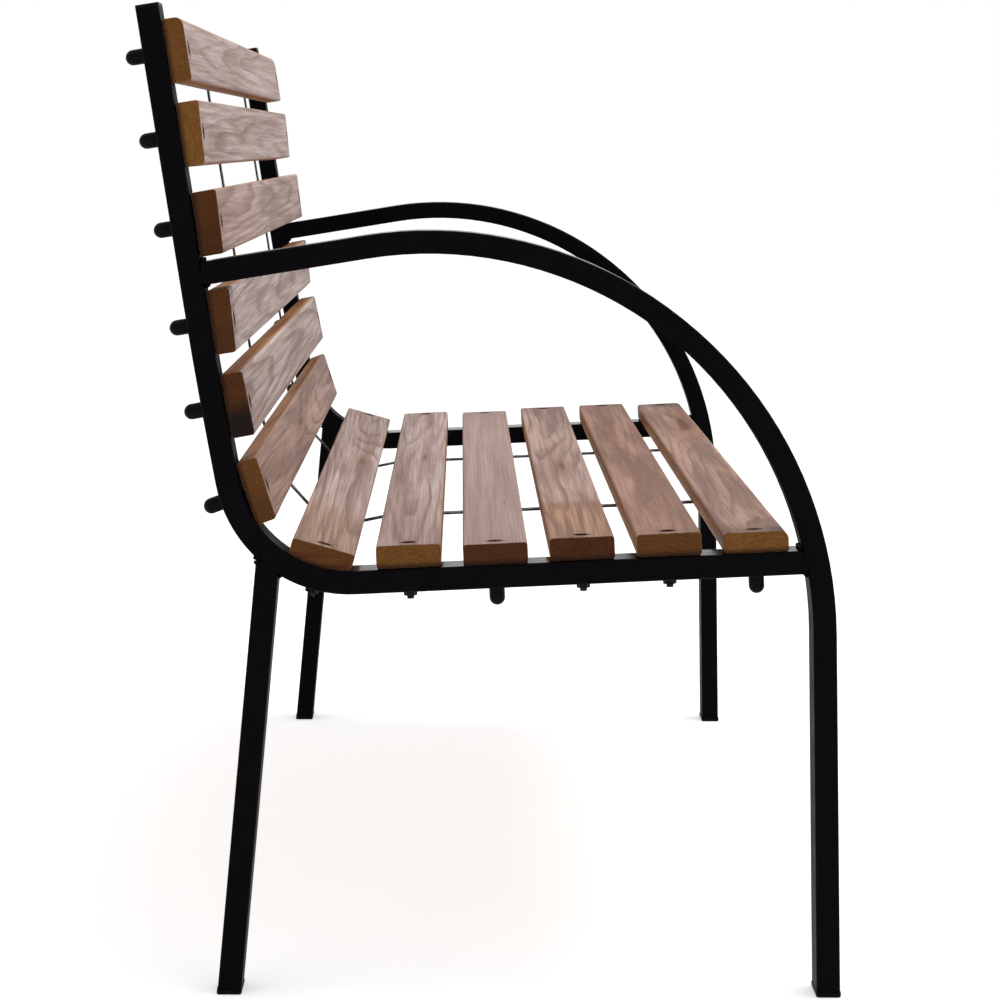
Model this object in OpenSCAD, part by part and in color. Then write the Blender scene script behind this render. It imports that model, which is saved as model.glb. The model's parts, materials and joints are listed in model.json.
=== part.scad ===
// Park bench: two bent steel side frames joined by twelve bolted wooden slats.
// Each side frame is drawn as a profile seen from the side: its first axis points to the
// front of the bench and its second axis points up, with zero below the rear corner of the seat.
// The profile is then stood up, so that X runs along the bench, the sitter faces -Y and Z is up.
// Left and right are as seen by someone who stands in front of the bench.

/* [Bench] */
// Length of the bench over its two side frames
bench_len = 1300; // [900:10:2000]
// Height of the top of the back above the ground
bench_h = 839; // [780:1:950]

/* [Frame tube] */
// Thickness of the tube, seen from the side of the bench
tube_t = 20; // [16:0.5:25]
// Width of the tube along the bench
tube_w = 40; // [30:1:60]
// Wall of the tube
tube_wall = 1.5; // [1:0.1:3]
// Outer radius of the tube's long corners
tube_corner = 2.5; // [2:0.1:4]

/* [Back and seat] */
// Height of the seat tube's middle line at the rear corner of the seat
seat_corner_h = 344; // [320:1:380]
// Rise of the seat tube toward the front, in degrees
seat_rise = 2.85; // [0:0.05:6]
// Radius of the bend between back and seat, at the tube's middle line
seat_bend_r = 105; // [85:1:130]
// Lean of the upper back, in degrees from upright
back_lean = 9.5; // [5:0.5:14]
// Extra lean of the lower back, in degrees
lumbar_turn = 1.8; // [0.5:0.1:4]
// Length of the gentle curve between lower and upper back
lumbar_len = 140; // [80:5:160]
// Straight stretch between the seat bend and the gentle curve
lumbar_rise = 14; // [4:1:30]

/* [Arm and legs] */
// Front foot's middle, measured forward from the rear corner of the seat
front_foot_out = 493; // [450:1:540]
// Lean of the front leg, in degrees, with its foot forward
front_leg_lean = 0.8; // [0:0.1:3]
// Radius of the arm's sweep into the front leg, at the tube's middle line
arm_bend_r = 335; // [300:1:345]
// Height of the arm's root above the middle of the gap between back slats 3 and 4
arm_root_lift = 0.5; // [0:0.5:2.5]
// Rear foot's middle, measured backward from the rear corner of the seat
rear_foot_back = 14; // [0:1:40]
// Lean of the rear leg, in degrees, with its foot backward
rear_leg_lean = 4.8; // [2:0.1:8]

/* [Slats] */
// Width of a slat
slat_w = 55; // [45:1:60]
// Thickness of a slat
slat_t = 18; // [15:0.5:24]
// Radius of the slats' long edges
slat_edge_r = 2.5; // [1:0.5:4]
// Radius of the worn front edge of the top back slat and the front seat slat
slat_nose_r = 7; // [4:0.5:10]
// Distance from a slat's end to the outer side of the frame
slat_inset = 2; // [0:0.5:8]
// Distance from the top of the tube to the top back slat
top_margin = 12.5; // [8:0.5:30]
// Gap above and below the arm, between back slats 3 and 4
arm_room = 4.5; // [4:0.5:8]
// Distance of the lowest back slat's middle below the start of the seat bend
low_slat_drop = 14; // [5:1:20]
// Rise of back slats 2 and 5 above even spacing
uneven_rise = 2.5; // [0:0.5:4]
// Distance of the first seat slat's middle behind the end of the seat bend
first_slat_back = 30.5; // [25:0.5:34]
// Distance of the second seat slat's middle in front of the end of the seat bend
second_slat_ahead = 46.5; // [38:0.5:55]
// Distance of the front seat slat's middle behind the front leg
front_slat_back = 41; // [37:1:55]

/* [Bolts and caps] */
// Diameter of the frame bolts
bolt_d = 6; // [5:1:8]
// Diameter of the bolts' countersunk heads
bolt_head_d = 12; // [11:0.5:15]
// Depth of the bolt heads below the face of the slats
bolt_sink = 0.8; // [0.2:0.1:2]
// Length of thread that stands out of the nuts
bolt_stub = 2.8; // [1:0.1:6]
// Width across the flats of the hexagon socket in the bolt heads
socket_af = 4; // [3:0.5:5]
// Depth of the hexagon socket
socket_depth = 2.2; // [1.5:0.1:3]
// Width across the flats of the nuts
nut_af = 10; // [9:0.5:13]
// Thickness of the nuts
nut_t = 5; // [4:0.5:6.5]
// Diameter of the domed nut caps
cap_d = 13.4; // [13:0.1:17]
// Length of the domed nut caps
cap_len = 16.5; // [14:0.5:22]

/* [Tie strips] */
// Width of the steel strips behind the slats
strip_w = 15; // [10:1:25]
// Thickness of the steel strips
strip_t = 1.5; // [1:0.1:3]
// Distance of each strip from the middle of the bench
strip_out = 255; // [150:5:400]
// Length of slat behind the last screw that the strips leave free
strip_end_margin = 8; // [2:1:20]
// Diameter of the strip screws
screw_d = 3.5; // [3:0.1:4.5]
// Length of the strip screws under their head
screw_len = 14; // [10:1:16]
// Diameter of the strip screws' heads
screw_head_d = 7; // [6:0.5:9]
// Height of the strip screws' heads
screw_head_t = 2.2; // [1.5:0.1:3]

/* [Plugs, feet and welds] */
// Thickness of the plug's plate on top of the back tube
plug_plate_t = 2.5; // [1.5:0.5:5]
// Thickness of the feet below the leg tubes
foot_t = 4; // [3:0.5:8]
// Depth of the plugs and feet inside their tubes
plug_depth = 15; // [8:1:25]
// Wall of the plugs and feet inside their tubes
plug_wall = 1.6; // [1:0.1:3]
// Leg of the fillet welds
weld_leg = 3.5; // [2.5:0.5:4]
// Height of the welds on the sides of the tubes
weld_crown = 0.7; // [0.3:0.1:1.5]

/* [Clearances] */
// Gap round bolts and screws in their holes
hole_gap = 0.25; // [0.1:0.05:0.5]
// Gap between parts that rest on each other over a curve
seat_gap = 0.05; // [0.02:0.01:0.2]
// Gap round the plugs inside the tubes
plug_gap = 0.1; // [0.05:0.05:0.3]

/* [Hidden] */
$fa = 2;
$fs = 0.6;

// Slats in the back and in the seat, and how many of the back stand above the arms
SLATS = 6;
ABOVE_ARM = 3;

// Sides of the bench
LEFT = -1;
RIGHT = 1;

// Pieces of the bench, and the one that is drawn

steel_black = "#1b191d";
plastic_black = "#26242a";
wood_brown = "#b08f7c";
zinc_grey = "#8d8f92";

// Points, directions and lines in the profile. A line is a list of a point and an angle.
function heading(a) = [cos(a), sin(a)];
function left_of(a) = [-sin(a), cos(a)];
function angle_between(p, q) = atan2(q.y - p.y, q.x - p.x);
function shifted(line, d) = [line[0] + d * left_of(line[1]), line[1]];
function crossing(m, n) =
    let (d = n[0] - m[0])
    m[0] + heading(m[1]) * (d.x * sin(n[1]) - d.y * cos(n[1])) / sin(n[1] - m[1]);

// Length of an arc of a given angle, and the angle of an arc of a given length
function arc_length(r, a) = r * a * PI / 180;
function arc_angle(r, length) = length / r * 180 / PI;

// A point carried round a centre
function turned(p, centre, a) =
    let (d = p - centre)
    centre + [d.x * cos(a) - d.y * sin(a), d.x * sin(a) + d.y * cos(a)];

// Place where a line that starts outside or inside a circle first enters or last leaves it
function entering(line, centre, r) =
    let (d = line[0] - centre, b = d * heading(line[1]))
    line[0] + heading(line[1]) * (-b - sqrt(b * b - d * d + r * r));
function leaving(line, centre, r) =
    let (d = line[0] - centre, b = d * heading(line[1]))
    line[0] + heading(line[1]) * (-b + sqrt(b * b - d * d + r * r));

// Bending draws the tube's wall in by a hair on both of its sides
bend_draw = 0.02;

// Length over which a bend runs into the straight tube at each of its ends
bend_lap = 0.5;

// Smallest radius inside the long corners of the tube
least_inner_r = 0.3;

// How far a shape that cuts a hole runs past the face that it opens
cut_over = 1;

// Room in a cap above the end of its bolt
cap_room = 1;

// Width over the corners of a hexagon with a given width across its flats
function over_corners(flats) = flats / cos(30);

// Length from a corner to the start of its round bend
function setback(r, turn) = r * tan(abs(turn) / 2);

// Middle line of the back and seat tube, from the top down to the front
half_t = tube_t / 2;
upper_angle = -90 + back_lean;
lower_angle = upper_angle + lumbar_turn;
seat_bend_turn = seat_rise - lower_angle;
lumbar_r = lumbar_len / arc_length(1, lumbar_turn);
seat_corner = [0, seat_corner_h];
lumbar_corner = seat_corner - heading(lower_angle)
    * (setback(seat_bend_r, seat_bend_turn) + lumbar_rise + setback(lumbar_r, lumbar_turn));
back_top_h = bench_h - plug_plate_t * cos(back_lean) - half_t * sin(back_lean);
back_top = lumbar_corner - heading(upper_angle) * (back_top_h - lumbar_corner.y) / cos(back_lean);
seat_line = [seat_corner, seat_rise];
seat_bend_start = seat_corner - heading(lower_angle) * setback(seat_bend_r, seat_bend_turn);
seat_bend_centre = seat_bend_start + seat_bend_r * left_of(lower_angle);

// Front face of the back and top face of the seat, measured along the face from its top end
upper_run = norm(lumbar_corner - back_top) - setback(lumbar_r, lumbar_turn);
lumbar_run = arc_length(lumbar_r - half_t, lumbar_turn);
bend_run = arc_length(seat_bend_r - half_t, seat_bend_turn);
bend_start_s = upper_run + lumbar_run + lumbar_rise;
bend_end_s = bend_start_s + bend_run;
lumbar_centre = back_top + heading(upper_angle) * upper_run + lumbar_r * left_of(upper_angle);
bend_end = seat_corner + heading(seat_rise) * setback(seat_bend_r, seat_bend_turn);

// A place on that face, or a small way in front of it, with the direction of the face there
function on_line(p, a, way, ahead) = [p + heading(a) * way + (half_t + ahead) * left_of(a), a];
function on_arc(centre, r, a, way, ahead) =
    let (b = a + arc_angle(r - half_t, way))
    [centre - (r - half_t - ahead) * left_of(b), b];
function face_at(s, ahead = 0) =
    s < upper_run ? on_line(back_top, upper_angle, s, ahead)
    : s < upper_run + lumbar_run
        ? on_arc(lumbar_centre, lumbar_r, upper_angle, s - upper_run, ahead)
    : s < bend_start_s ? on_line(seat_bend_start, lower_angle, s - bend_start_s, ahead)
    : s < bend_end_s ? on_arc(seat_bend_centre, seat_bend_r, lower_angle, s - bend_start_s, ahead)
    : on_line(bend_end, seat_rise, s - bend_end_s, ahead);

// Half the stretch of face that a slat spans when it rests on its two rounded rear edges
edge_span = slat_w - 2 * slat_edge_r;
function edge_point(s) = face_at(s, slat_edge_r)[0];
function half_span(s, guess, rounds = 6) =
    rounds == 0 ? guess
    : half_span(s, guess * edge_span / norm(edge_point(s + guess) - edge_point(s - guess)), rounds - 1);

// Resting place of a slat: the middle of its rear face and the direction across the slat
function bridging(s) =
    let (half = half_span(s, edge_span / 2),
        p = edge_point(s - half),
        q = edge_point(s + half),
        a = angle_between(p, q))
    [(p + q) / 2 - slat_edge_r * left_of(a), a];

// Places of the back slats, with the gap for the arm after the third
first_back_s = top_margin + slat_w / 2;
last_back_s = bend_start_s + low_slat_drop;
arm_pitch = slat_w + tube_t + 2 * arm_room;
back_pitch = (last_back_s - first_back_s - arm_pitch) / (SLATS - 2);
function even_back_s(i) =
    first_back_s + (i < ABOVE_ARM ? i * back_pitch : (i - 1) * back_pitch + arm_pitch);
function back_s(i) = even_back_s(i) - (i == 1 || i == SLATS - 2 ? uneven_rise : 0);
back_places = [for (i = [0 : SLATS - 1]) bridging(back_s(i))];

// Arm and front leg, from the back to the ground
arm_root_s = (back_s(ABOVE_ARM - 1) + back_s(ABOVE_ARM)) / 2 - arm_root_lift;
arm_root = face_at(arm_root_s);
arm_angle = arm_root[1] + 90;
front_leg_angle = -90 + front_leg_lean;
front_foot = [front_foot_out, 0];
arm_line = [arm_root[0] - half_t * heading(arm_angle), arm_angle];
arm_corner = crossing(arm_line, [front_foot, front_leg_angle]);
arm_bend_turn = front_leg_angle - arm_angle;
arm_bend_start = arm_corner - heading(arm_angle) * setback(arm_bend_r, arm_bend_turn);
arm_bend_centre = arm_bend_start - arm_bend_r * left_of(arm_angle);

// Rear leg, from the ground up to the seat bend
rear_foot = [-rear_foot_back, 0];
rear_leg_line = [rear_foot, 90 - rear_leg_lean];

// Paths that the tubes follow, as corner points with a bend radius between them
seat_tube_end = leaving(seat_line, arm_bend_centre, arm_bend_r);
back_path = [back_top, lumbar_corner, seat_corner, seat_tube_end];
back_radii = [lumbar_r, seat_bend_r];
arm_path = [arm_line[0], arm_corner, front_foot - heading(front_leg_angle) * foot_t];
arm_radii = [arm_bend_r];
rear_leg_path = [
    rear_foot + heading(rear_leg_line[1]) * foot_t,
    entering(rear_leg_line, seat_bend_centre, seat_bend_r)
];

// Places of the seat slats: the first on the bend, the rest evenly spaced up to the front leg
seat_front = leaving(seat_line, arm_bend_centre, arm_bend_r - half_t);
first_seat_s = bend_end_s - first_slat_back;
last_seat_s = bend_end_s + norm(seat_front - bend_end) - front_slat_back;
second_seat_s = bend_end_s + second_slat_ahead;
seat_pitch = (last_seat_s - second_seat_s) / (SLATS - 2);
function seat_s(i) = i == 0 ? first_seat_s : second_seat_s + (i - 1) * seat_pitch;
seat_places = [for (i = [0 : SLATS - 1]) face_at(seat_s(i))];

// Depth from a slat's rear face to the far face of the tube behind it
function grip(place, s) = tube_t + (place[0] - face_at(s)[0]) * left_of(place[1]);
back_grips = [for (i = [0 : SLATS - 1]) grip(back_places[i], back_s(i))];
seat_grips = [for (i = [0 : SLATS - 1]) grip(seat_places[i], seat_s(i))];
capped_seat_slats = [2, 5];

// Fasteners
bolt_len = slat_t - bolt_sink + tube_t + nut_t + bolt_stub;
head_t = (bolt_head_d - bolt_d) / 2;
bolt_hole_d = bolt_d + 2 * hole_gap;
frame_x = (bench_len - tube_w) / 2;
slat_len = bench_len - 2 * slat_inset;
screw_hole_d = screw_d + 2 * hole_gap;

// The bench is centred between its rearmost cap and its front feet
cap_centre = back_places[0][0]
    - left_of(upper_angle) * (back_grips[0] + seat_gap + cap_len - cap_d / 2);
rearmost = cap_centre.x - cap_d / 2;
foremost = front_foot_out + half_t / cos(front_leg_lean);
middle = (rearmost + foremost) / 2;

// Outline of a tie strip, flat behind each slat and straight across each gap
places = concat(back_places, seat_places);
function strip_side(d) = [
    for (k = [0 : 2 * SLATS - 1], end = [-1, 1])
        let (place = places[k], outer_end = (k == 0 && end < 0) || (k == 2 * SLATS - 1 && end > 0))
        place[0] - d * left_of(place[1])
            + end * (slat_w / 2 - (outer_end ? strip_end_margin : 0)) * heading(place[1])
];
function backward(list) = [for (i = [len(list) - 1 : -1 : 0]) list[i]];
strip_outline = concat(strip_side(seat_gap), backward(strip_side(seat_gap + strip_t)));

// Stand the profile up, with its middle over the origin
module stand_up() {
    translate([0, middle, 0])
        rotate([90, 0, -90])
            children();
}

module at_frame(side) {
    translate([side * frame_x, 0, 0])
        stand_up()
            children();
}

module at_strip(side) {
    translate([side * strip_out, 0, 0])
        stand_up()
            children();
}

// Put a shape on a slat's place, with the shape's second axis pointing out of the slat's face
module at_place(place) {
    translate(place[0])
        rotate(place[1])
            children();
}

// Turn a shape that is built upward so that it grows out of the slat's face
module outward() {
    rotate([-90, 0, 0])
        children();
}

// Rectangle about the origin with its own radius on each corner, from the lower left one round
module eased_rectangle(size, radii) {
    signs = [[-1, -1], [1, -1], [1, 1], [-1, 1]];
    difference() {
        square(size, center = true);
        for (i = [0 : 3])
            translate([signs[i].x * size.x / 2, signs[i].y * size.y / 2])
                facing(-signs[i])
                    corner_waste(radii[i]);
    }
}

module facing(s) {
    mirror([s.x < 0 ? 1 : 0, 0])
        mirror([0, s.y < 0 ? 1 : 0])
            children();
}

module corner_waste(r) {
    difference() {
        translate([-r, -r])
            square(2 * r);
        translate([r, r])
            circle(r);
        translate([r, -2 * r])
            square(4 * r);
        translate([-2 * r, r])
            square(4 * r);
    }
}

// Cross-sections of the frame tube, as solid metal or with its hollow
module tube_outline() {
    eased_rectangle([tube_t, tube_w], [for (i = [0 : 3]) tube_corner]);
}

module tube_hollow(gap = 0) {
    inner = max(tube_corner - tube_wall, least_inner_r);
    eased_rectangle(
        [tube_t - 2 * tube_wall - 2 * gap, tube_w - 2 * tube_wall - 2 * gap],
        [for (i = [0 : 3]) inner]
    );
}

module tube_section() {
    difference() {
        tube_outline();
        tube_hollow();
    }
}

module bend_section() {
    difference() {
        eased_rectangle(
            [tube_t - 2 * bend_draw, tube_w - 2 * bend_draw],
            [for (i = [0 : 3]) tube_corner - bend_draw]
        );
        tube_hollow(-bend_draw);
    }
}

// Draw straight runs from corner to corner with the first child as their cross-section,
// and a round bend at each corner between them with the second
module along(path, radii) {
    last = len(path) - 1;
    angles = [for (i = [0 : last - 1]) angle_between(path[i], path[i + 1])];
    turns = [for (i = [1 : 1 : last - 1]) angles[i] - angles[i - 1]];
    cuts = [0, for (i = [1 : 1 : last - 1]) setback(radii[i - 1], turns[i - 1]), 0];
    for (i = [0 : last - 1])
        translate(path[i] + cuts[i] * heading(angles[i]))
            rotate(angles[i])
                rotate([90, 0, 90])
                    linear_extrude(norm(path[i + 1] - path[i]) - cuts[i] - cuts[i + 1])
                        children(0);
    for (i = [1 : 1 : last - 1])
        bend(path[i] - cuts[i] * heading(angles[i - 1]), radii[i - 1], angles[i - 1], turns[i - 1])
            children(1);
}

module bend(start, r, a, turn) {
    lap = arc_angle(r, bend_lap);
    translate(start + sign(turn) * r * left_of(a))
        rotate((turn > 0 ? a - 90 : a + 90 + turn) - lap)
            rotate_extrude(angle = abs(turn) + 2 * lap)
                translate([r, 0])
                    children();
}

// Full ring of solid tube, which hollows the slat that sits on a bend
module ring_form(centre, r) {
    translate(centre)
        rotate_extrude()
            translate([r, 0])
                tube_outline();
}

// Everything in front of the front leg's rear face, at the height of the seat
module past_front_leg() {
    translate(arm_bend_centre)
        difference() {
            translate([0, -arm_bend_r, -tube_w])
                cube([2 * arm_bend_r, 2 * arm_bend_r, 2 * tube_w]);
            cylinder(r = arm_bend_r - half_t, h = 3 * tube_w, center = true);
        }
}

// Holes through the tube for the bolts of one row of slats
module bolt_holes(places, grips) {
    for (i = [0 : SLATS - 1])
        at_place(places[i])
            translate([0, -grips[i] - tube_wall, 0])
                outward()
                    cylinder(d = bolt_hole_d, h = grips[i] + 2 * tube_wall);
}

module back_and_seat_tube(side) {
    color(steel_black)
        at_frame(side)
            difference() {
                along(back_path, back_radii) {
                    tube_section();
                    bend_section();
                }
                past_front_leg();
                bolt_holes(back_places, back_grips);
                bolt_holes(seat_places, seat_grips);
            }
}

module arm_and_front_leg_tube(side) {
    color(steel_black)
        at_frame(side)
            difference() {
                along(arm_path, arm_radii) {
                    tube_section();
                    bend_section();
                }
                back_trim();
            }
}

// Upper back without its rounded front corners, so that the arm ends square on its face
module back_trim() {
    along([back_top, lumbar_corner], [])
        square([tube_t, 2 * tube_w], center = true);
}

module rear_leg_tube(side) {
    color(steel_black)
        at_frame(side)
            difference() {
                along(rear_leg_path, [])
                    tube_section();
                translate(seat_bend_centre)
                    cylinder(r = seat_bend_r + half_t, h = 2 * tube_w, center = true);
            }
}

// Bead that fills the corner between the end of a tube and the face that it meets
module fillet_bead(corner, on_face, on_tube) {
    linear_extrude(tube_w - 2 * tube_corner, center = true)
        polygon([corner, on_face, on_tube]);
}

// Low beads on both sides of the tubes, from one corner of a joint to the other
module side_beads(p, q) {
    bead_r = (weld_leg * weld_leg + weld_crown * weld_crown) / (2 * weld_crown);
    for (z = [-1, 1])
        difference() {
            translate([0, 0, z * (tube_w / 2 + weld_crown - bead_r)])
                translate(p)
                    rotate(angle_between(p, q))
                        rotate([0, 90, 0])
                            cylinder(r = bead_r, h = norm(q - p));
            cube([2 * bench_h, 2 * bench_h, tube_w + 2 * seat_gap], center = true);
        }
}

// Weld where a straight tube ends on the straight face of the back
module arm_weld() {
    edge = half_t + seat_gap;
    face = seat_gap * heading(arm_angle);
    p = arm_root[0] - edge * heading(upper_angle) + face;
    q = arm_root[0] + edge * heading(upper_angle) + face;
    fillet_bead(p, p - weld_leg * heading(upper_angle), p + weld_leg * heading(arm_angle));
    fillet_bead(q, q + weld_leg * heading(upper_angle), q + weld_leg * heading(arm_angle));
    side_beads(p, q);
}

// Weld where a straight tube ends on the round face of a bend. The way runs back along the tube
module bend_weld(p, q, centre, way) {
    turn = arc_angle(norm(p - centre), weld_leg);
    sense = sign(cross(q - centre, p - centre));
    fillet_bead(p, turned(p, centre, sense * turn), p + weld_leg * heading(way));
    fillet_bead(q, turned(q, centre, -sense * turn), q + weld_leg * heading(way));
    side_beads(p, q);
}

module welds(side) {
    edge = half_t + seat_gap;
    leg_face_r = arm_bend_r - half_t - seat_gap;
    seat_face_r = seat_bend_r + half_t + seat_gap;
    color(steel_black)
        at_frame(side) {
            arm_weld();
            bend_weld(
                leaving(shifted(seat_line, edge), arm_bend_centre, leg_face_r),
                leaving(shifted(seat_line, -edge), arm_bend_centre, leg_face_r),
                arm_bend_centre,
                seat_rise + 180
            );
            bend_weld(
                entering(shifted(rear_leg_line, edge), seat_bend_centre, seat_face_r),
                entering(shifted(rear_leg_line, -edge), seat_bend_centre, seat_face_r),
                seat_bend_centre,
                rear_leg_line[1] + 180
            );
        }
}

// Plug that fills the end of a tube, from the end of its path inward
module plug_stem() {
    linear_extrude(plug_depth)
        difference() {
            tube_hollow(plug_gap);
            square([tube_t, tube_w] - [1, 1] * 2 * (tube_wall + plug_wall), center = true);
        }
}

module top_plug(side) {
    color(plastic_black)
        at_frame(side)
            translate(back_top)
                rotate(upper_angle)
                    rotate([90, 0, 90]) {
                        translate([0, 0, -plug_plate_t])
                            linear_extrude(plug_plate_t)
                                tube_outline();
                        plug_stem();
                    }
}

// Foot with a level sole, at the lower end of a leg that rises at the given angle
module foot(side, ground_point, leg_angle) {
    color(plastic_black)
        at_frame(side)
            difference() {
                translate(ground_point)
                    rotate(leg_angle)
                        rotate([90, 0, 90]) {
                            translate([0, 0, -foot_t])
                                linear_extrude(2 * foot_t)
                                    tube_outline();
                            translate([0, 0, foot_t])
                                plug_stem();
                        }
                translate(ground_point - [tube_w, tube_w])
                    translate([0, 0, -tube_w])
                        cube([2 * tube_w, tube_w, 2 * tube_w]);
            }
}

// Slat on its place. Its heads are let into the face and its rear takes the strip screws
module slat_blank(radii) {
    linear_extrude(slat_len, center = true)
        translate([0, slat_t / 2])
            eased_rectangle([slat_w, slat_t], radii);
}

module slat_holes() {
    for (side = [LEFT, RIGHT]) {
        translate([0, 0, side * frame_x])
            outward() {
                translate([0, 0, -cut_over])
                    cylinder(d = bolt_hole_d, h = slat_t + 2 * cut_over);
                translate([0, 0, slat_t - bolt_sink - head_t])
                    cylinder(d1 = bolt_d, d2 = bolt_head_d, h = head_t);
                translate([0, 0, slat_t - bolt_sink])
                    cylinder(d = bolt_head_d, h = bolt_sink + cut_over);
            }
        translate([0, 0, side * strip_out])
            outward()
                translate([0, 0, -cut_over])
                    cylinder(d = screw_d, h = screw_len - strip_t - seat_gap + cut_over);
    }
}

module slat(place, front_radii) {
    color(wood_brown)
        stand_up()
            difference() {
                at_place(place)
                    difference() {
                        slat_blank([slat_edge_r, slat_edge_r, front_radii[1], front_radii[0]]);
                        slat_holes();
                    }
                children();
            }
}

module back_slat(i) {
    slat(back_places[i], [i == 0 ? slat_nose_r : slat_edge_r, slat_edge_r]);
}

// The first seat slat is hollowed below to fit the seat bend
module seat_slat(i) {
    front_radii = [slat_edge_r, i == SLATS - 1 ? slat_nose_r : slat_edge_r];
    if (i == 0)
        slat(seat_places[i], front_radii)
            for (side = [LEFT, RIGHT])
                translate([0, 0, side * frame_x])
                    ring_form(seat_bend_centre, seat_bend_r);
    else
        slat(seat_places[i], front_radii);
}

// Bolt with its head let into the slat's face
module bolt() {
    translate([0, slat_t - bolt_sink, 0])
        rotate([90, 0, 0])
            difference() {
                union() {
                    cylinder(d1 = bolt_head_d, d2 = bolt_d, h = head_t);
                    cylinder(d = bolt_d, h = bolt_len);
                }
                translate([0, 0, -cut_over])
                    cylinder(d = over_corners(socket_af), h = socket_depth + cut_over, $fn = 6);
            }
}

module bolts(side, places) {
    color(zinc_grey)
        at_frame(side)
            for (place = places)
                at_place(place)
                    bolt();
}

module nuts(side, places, grips) {
    color(zinc_grey)
        at_frame(side)
            for (i = [0 : SLATS - 1])
                at_place(places[i])
                    translate([0, -grips[i] - seat_gap, 0])
                        rotate([90, 0, 0])
                            difference() {
                                cylinder(d = over_corners(nut_af), h = nut_t, $fn = 6);
                                translate([0, 0, -cut_over])
                                    cylinder(d = bolt_d + 2 * seat_gap, h = nut_t + 2 * cut_over);
                            }
}

// Domed cap pushed over a nut, with its rim against the tube
module cap() {
    dome_r = cap_d / 2;
    rotate([90, 0, 0])
        difference() {
            union() {
                cylinder(r = dome_r, h = cap_len - dome_r);
                translate([0, 0, cap_len - dome_r])
                    intersection() {
                        sphere(dome_r);
                        cylinder(r = dome_r, h = dome_r);
                    }
            }
            translate([0, 0, -cut_over])
                cylinder(d = over_corners(nut_af + 2 * seat_gap), h = nut_t + seat_gap + cut_over, $fn = 6);
            translate([0, 0, -cut_over])
                cylinder(d = bolt_d + 4 * hole_gap, h = nut_t + bolt_stub + cap_room + cut_over);
        }
}

module caps(side, places, grips, which) {
    color(plastic_black)
        at_frame(side)
            for (i = which)
                at_place(places[i])
                    translate([0, -grips[i] - seat_gap, 0])
                        cap();
}

module tie_strip(side) {
    color(zinc_grey)
        at_strip(side)
            difference() {
                linear_extrude(strip_w, center = true)
                    polygon(strip_outline);
                for (place = places)
                    at_place(place)
                        translate([0, -3 * strip_t, 0])
                            outward()
                                cylinder(d = screw_hole_d, h = 3 * strip_t + cut_over);
            }
}

// Screw whose head holds the strip against the slat
module strip_screw() {
    translate([0, -strip_t - 2 * seat_gap, 0]) {
        outward()
            cylinder(d = screw_d - 2 * seat_gap, h = screw_len);
        rotate([90, 0, 0])
            cylinder(d = screw_head_d, h = screw_head_t);
    }
}

module strip_screws(side) {
    color(zinc_grey)
        at_strip(side)
            for (place = places)
                at_place(place)
                    strip_screw();
}

back_and_seat_tube(LEFT);  // left_back_and_seat_tube
back_and_seat_tube(RIGHT);  // right_back_and_seat_tube
arm_and_front_leg_tube(LEFT);  // left_arm_and_front_leg_tube
arm_and_front_leg_tube(RIGHT);  // right_arm_and_front_leg_tube
rear_leg_tube(LEFT);  // left_rear_leg_tube
rear_leg_tube(RIGHT);  // right_rear_leg_tube
welds(LEFT);  // left_welds
welds(RIGHT);  // right_welds
top_plug(LEFT);  // left_top_plug
top_plug(RIGHT);  // right_top_plug
foot(LEFT, front_foot, front_leg_angle + 180);  // left_front_foot
foot(RIGHT, front_foot, front_leg_angle + 180);  // right_front_foot
foot(LEFT, rear_foot, rear_leg_line[1]);  // left_rear_foot
foot(RIGHT, rear_foot, rear_leg_line[1]);  // right_rear_foot
for (i = [0 : SLATS - 1])
    back_slat(i);
for (i = [0 : SLATS - 1])
    seat_slat(i);
bolts(LEFT, back_places);  // left_back_bolts
bolts(RIGHT, back_places);  // right_back_bolts
bolts(LEFT, seat_places);  // left_seat_bolts
bolts(RIGHT, seat_places);  // right_seat_bolts
nuts(LEFT, back_places, back_grips);  // left_back_nuts
nuts(RIGHT, back_places, back_grips);  // right_back_nuts
nuts(LEFT, seat_places, seat_grips);  // left_seat_nuts
nuts(RIGHT, seat_places, seat_grips);  // right_seat_nuts
caps(LEFT, back_places, back_grips, [0 : SLATS - 1]);  // left_back_caps
caps(RIGHT, back_places, back_grips, [0 : SLATS - 1]);  // right_back_caps
caps(LEFT, seat_places, seat_grips, capped_seat_slats);  // left_seat_caps
caps(RIGHT, seat_places, seat_grips, capped_seat_slats);  // right_seat_caps
tie_strip(LEFT);  // left_tie_strip
tie_strip(RIGHT);  // right_tie_strip
strip_screws(LEFT);  // left_strip_screws
strip_screws(RIGHT);  // right_strip_screws
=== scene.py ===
import json
import math
import random

import bmesh
import bpy
from mathutils import Matrix, Vector, noise


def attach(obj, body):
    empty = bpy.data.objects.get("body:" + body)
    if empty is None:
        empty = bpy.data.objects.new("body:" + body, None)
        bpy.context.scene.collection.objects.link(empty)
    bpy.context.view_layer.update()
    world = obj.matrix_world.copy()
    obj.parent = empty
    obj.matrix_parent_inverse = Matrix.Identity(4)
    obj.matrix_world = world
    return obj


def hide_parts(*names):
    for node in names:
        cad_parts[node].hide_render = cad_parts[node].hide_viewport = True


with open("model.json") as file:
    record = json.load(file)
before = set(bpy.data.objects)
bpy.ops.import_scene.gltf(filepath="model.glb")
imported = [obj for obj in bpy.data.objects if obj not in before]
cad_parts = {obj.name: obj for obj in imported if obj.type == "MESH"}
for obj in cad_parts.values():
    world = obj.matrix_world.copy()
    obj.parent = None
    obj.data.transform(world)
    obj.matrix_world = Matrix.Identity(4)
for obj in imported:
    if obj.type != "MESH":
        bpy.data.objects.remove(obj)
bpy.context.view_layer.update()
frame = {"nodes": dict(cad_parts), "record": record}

nodes = frame["nodes"]
MM = 0.001

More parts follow.
